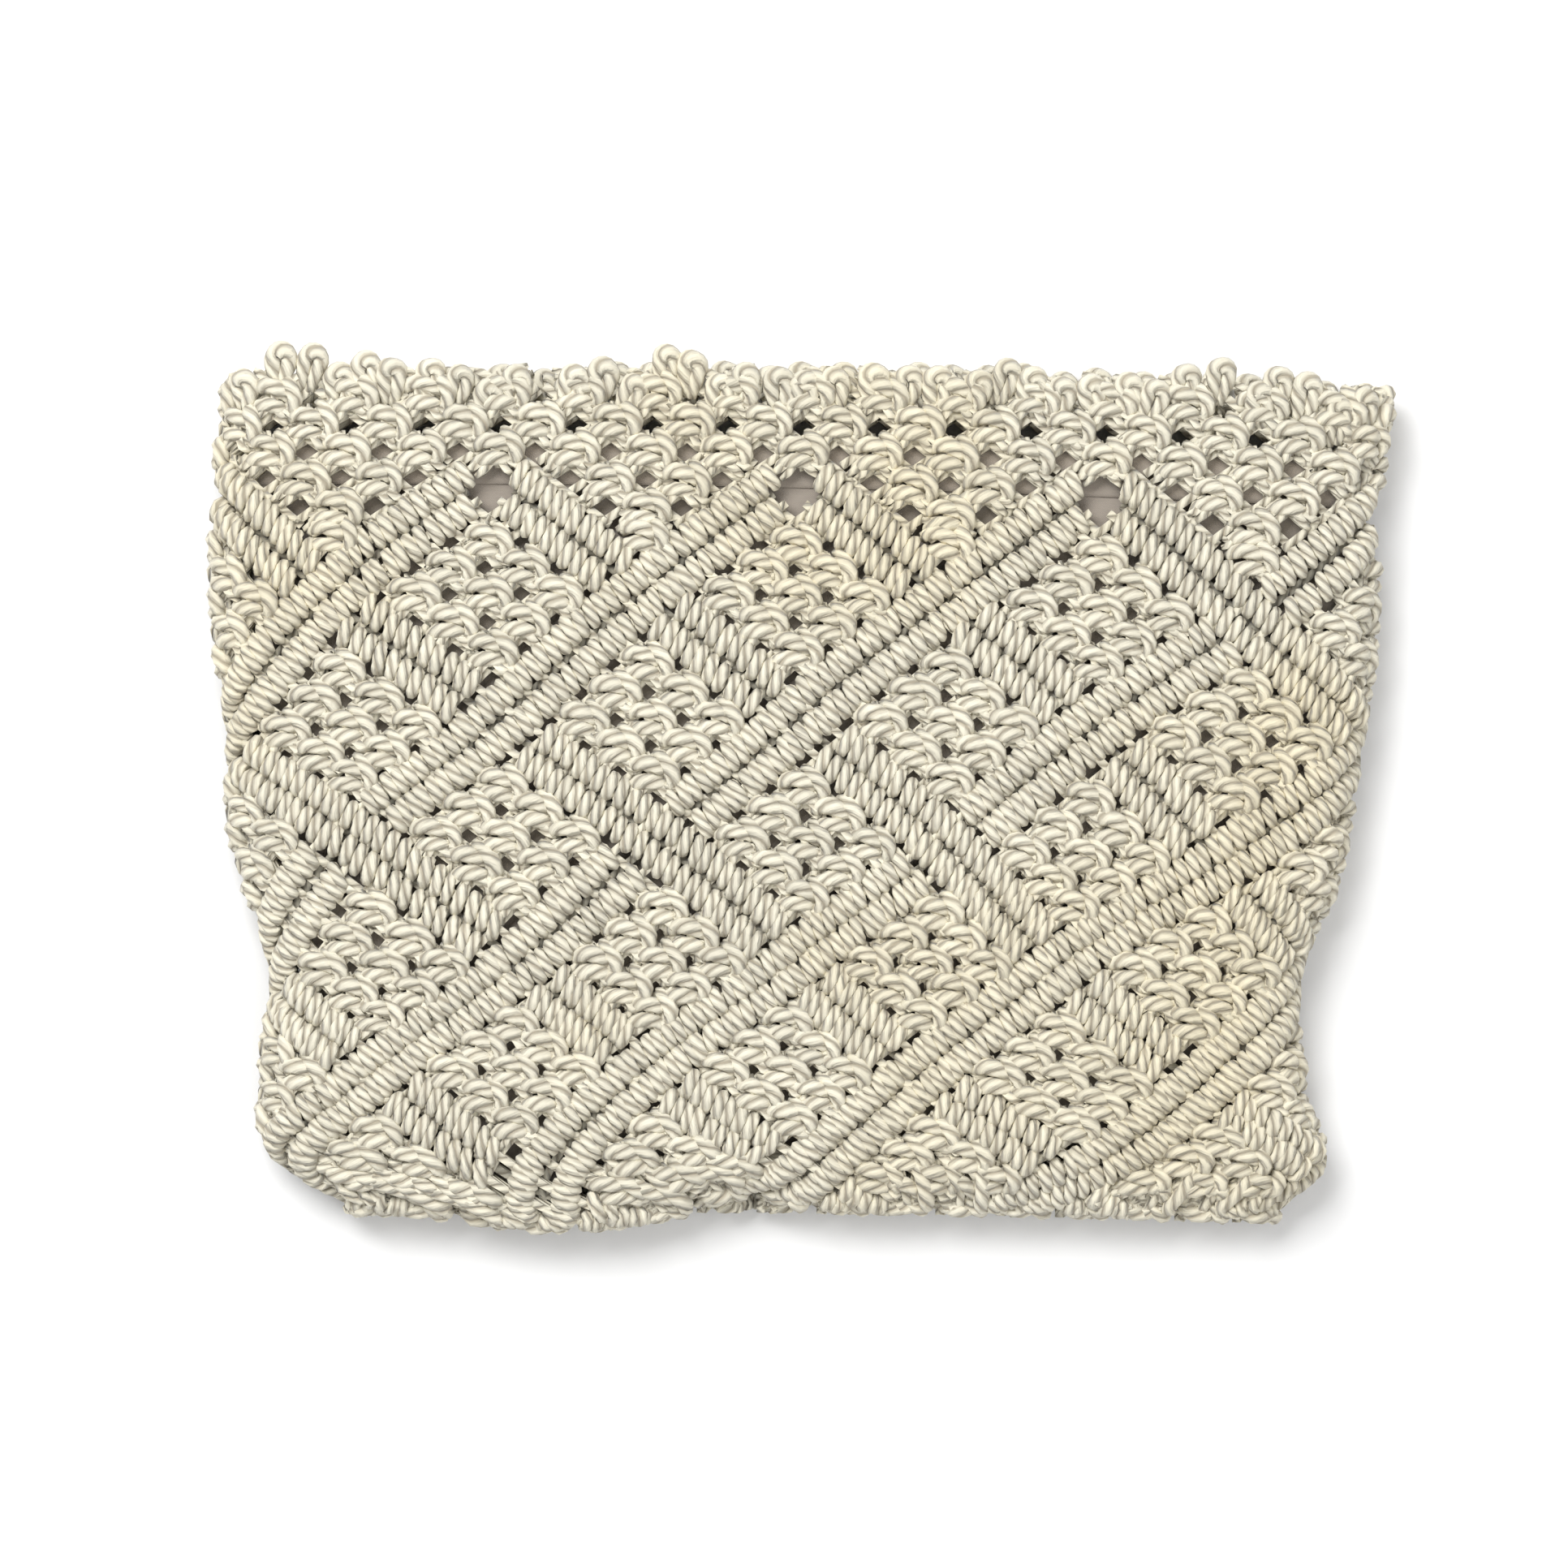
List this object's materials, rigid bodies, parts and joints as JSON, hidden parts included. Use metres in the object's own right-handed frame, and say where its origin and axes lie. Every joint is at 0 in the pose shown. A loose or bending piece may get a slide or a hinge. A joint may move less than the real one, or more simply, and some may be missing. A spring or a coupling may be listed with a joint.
{
  "type": "macrame pouch bag",
  "caption": "Flat knotted cotton macrame pouch, diamonds of square knots between double half-hitch bands, picot rim and cloth lining, lying on its back with an open mouth.",
  "frame": {"origin": "middle of the bag's box, on the surface that it lies on", "axes": "+X to the right across the bag, +Y up the bag to its open mouth, +Z out of its front"},
  "size_m": [0.2876, 0.212, 0.0275],
  "materials": {
    "cotton_cord": "undyed twisted cotton cord, matt",
    "picot_cord": "undyed twisted cotton cord, matt, folded into small loops",
    "lining_cloth": "plain woven cotton, matt"
  },
  "bodies": {
    "root": {"knotted_body": "cotton_cord", "picot_rim": "picot_cord", "lining": "lining_cloth"}
  },
  "joints": []
}
